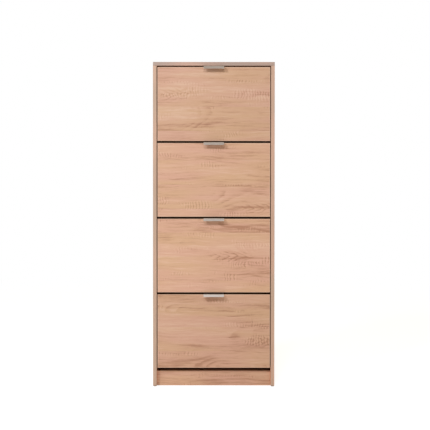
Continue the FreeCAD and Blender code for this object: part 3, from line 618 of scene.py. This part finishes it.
# ---------------------------------------------------------------- camera, light and floor
CAMERA_RIGHT = 0.0050            # from the cabinet's middle plane
CAMERA_DISTANCE = 2.999          # from the side boards' front edges
CAMERA_HEIGHT = 0.7406
CAMERA_DOWN = math.radians(0.767)
CAMERA_ROLL = math.radians(0.035)
CAMERA_LENS = 61.68              # millimetres
CAMERA_SENSOR = 36.0             # millimetres

LIGHT_FRONT = 1.80               # from the side boards' front edges to the two soft boxes
LIGHT_HEIGHT = 2.68
LIGHT_TARGET = (0.0, -1.20, -1.00)   # in front of the cabinet and below it: this lights it evenly
LIGHT_TINT = (0.895, 1.0, 1.10)
KEY_RIGHT = -1.80
KEY_POWER = 56.0
KEY_SIZE = (0.6, 0.6)
FRONT_RIGHT = -0.05
FRONT_POWER = 21.0
FRONT_SIZE = (0.3, 0.6)
WORLD_LIGHT = 0.31
WORLD_TINT = (1.30, 1.0, 0.70)   # warm fill light: it makes the shadows brown, not grey

FLOOR_REACH = 60.0
FLOOR_DROP = 0.0002              # below the cabinet's lowest point
FLOOR_CLOUD_SCALE = 2.0
NEAR_FLOOR = 1.2                 # from the cabinet: the floor begins to fade to white
FAR_FLOOR = 4.5                  # from the cabinet: the floor is as white as the backdrop
# The floor's albedo near the cabinet, and its own glow near and far away. The first set lights
# the cabinet; the second one is what the camera and reflections see.
FLOOR_LIGHTING = (0.86, 0.0, 0.2)
FLOOR_SEEN = (0.50, 0.84, 1.0)


def front_edge():
    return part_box("side_panel_left")[0].y


def add_camera():
    data = bpy.data.cameras.new("camera")
    data.sensor_width = CAMERA_SENSOR
    data.lens = CAMERA_LENS
    camera = bpy.data.objects.new("camera", data)
    camera.location = (CAMERA_RIGHT, front_edge() - CAMERA_DISTANCE, CAMERA_HEIGHT)
    tilt = Matrix.Rotation(math.radians(90) - CAMERA_DOWN, 4, "X")
    roll = Matrix.Rotation(CAMERA_ROLL, 4, "Z")
    camera.rotation_euler = (tilt @ roll).to_euler()
    bpy.context.scene.collection.objects.link(camera)
    bpy.context.scene.camera = camera


def add_soft_box(name, right, power, size):
    """A flat lamp in front of the cabinet and above it."""
    data = bpy.data.lights.new(name, "AREA")
    data.energy = power
    data.color = LIGHT_TINT
    data.shape = "RECTANGLE"
    data.size, data.size_y = size
    lamp = bpy.data.objects.new(name, data)
    lamp.location = (right, front_edge() - LIGHT_FRONT, LIGHT_HEIGHT)
    aim = Vector(LIGHT_TARGET) - lamp.location
    lamp.rotation_euler = aim.to_track_quat("-Z", "Y").to_euler()
    lamp.visible_camera = False
    bpy.context.scene.collection.objects.link(lamp)
    return lamp


def light_switch(tree, ray, first, second):
    """First shader for rays of the named kind, second one for all the others."""
    path = tree.nodes.new("ShaderNodeLightPath")
    mix = tree.nodes.new("ShaderNodeMixShader")
    tree.links.new(path.outputs[ray], mix.inputs["Fac"])
    tree.links.new(second, mix.inputs[1])
    tree.links.new(first, mix.inputs[2])
    return mix.outputs["Shader"]


def floor_finish():
    """Pale floor that fades to the white of the backdrop with the distance."""
    surface = Surface("floor_pale")
    surface.tree.nodes.remove(surface.shader)
    axes = surface.split(surface.position)
    fade = surface.spread(surface.hypotenuse(axes[X], axes[Y]), NEAR_FLOOR, FAR_FLOOR)
    clouds = surface.noise(surface.position, even(FLOOR_CLOUD_SCALE), 3.0, 0.5)
    cloud_tone = surface.swing(clouds, 0.99, 1.01, 0.3)
    shaders = []
    for albedo, near_glow, far_glow in (FLOOR_LIGHTING, FLOOR_SEEN):
        grey = surface.times(cloud_tone, surface.spread(fade, 0.0, 1.0, albedo, 0.0))
        matt = surface.tree.nodes.new("ShaderNodeBsdfDiffuse")
        surface.put(matt.inputs["Color"], surface.merge(grey, grey, grey))
        glow = surface.tree.nodes.new("ShaderNodeEmission")
        surface.put(glow.inputs["Strength"], surface.spread(fade, 0.0, 1.0, near_glow, far_glow))
        both = surface.tree.nodes.new("ShaderNodeAddShader")
        surface.put(both.inputs[0], matt.outputs["BSDF"])
        surface.put(both.inputs[1], glow.outputs["Emission"])
        shaders.append(both.outputs["Shader"])
    chosen = light_switch(surface.tree, "Is Diffuse Ray", *shaders)
    surface.put(surface.output.inputs["Surface"], chosen)
    return surface.material


def add_floor():
    corners = [(-FLOOR_REACH, -FLOOR_REACH, 0), (FLOOR_REACH, -FLOOR_REACH, 0),
               (FLOOR_REACH, FLOOR_REACH, 0), (-FLOOR_REACH, FLOOR_REACH, 0)]
    mesh = bpy.data.meshes.new("floor")
    mesh.from_pydata(corners, [], [(0, 1, 2, 3)])
    floor = bpy.data.objects.new("floor", mesh)
    floor.location.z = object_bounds()[0].z - FLOOR_DROP
    bpy.context.scene.collection.objects.link(floor)
    floor.data.materials.append(floor_finish())


def add_world():
    """White to the camera, and a softer, warm light for everything else."""
    world = bpy.data.worlds.new("studio")
    bpy.context.scene.world = world
    world.use_nodes = True
    tree = world.node_tree
    tree.nodes.clear()
    output = tree.nodes.new("ShaderNodeOutputWorld")
    shaders = []
    for tint, strength in ((WHITE, 1.0), (WORLD_TINT, WORLD_LIGHT)):
        shader = tree.nodes.new("ShaderNodeBackground")
        shader.inputs["Color"].default_value = (*tint, 1.0)
        shader.inputs["Strength"].default_value = strength
        shaders.append(shader.outputs["Background"])
    tree.links.new(light_switch(tree, "Is Camera Ray", *shaders), output.inputs["Surface"])


add_camera()
dress_boards()
dress_small_parts()
add_floor()
add_world()
add_soft_box("key_light", KEY_RIGHT, KEY_POWER, KEY_SIZE)
front_light = add_soft_box("front_light", FRONT_RIGHT, FRONT_POWER, FRONT_SIZE)
front_light.visible_glossy = False      # it would show as a glint on the handles
bpy.context.scene.view_settings.view_transform = "Standard"
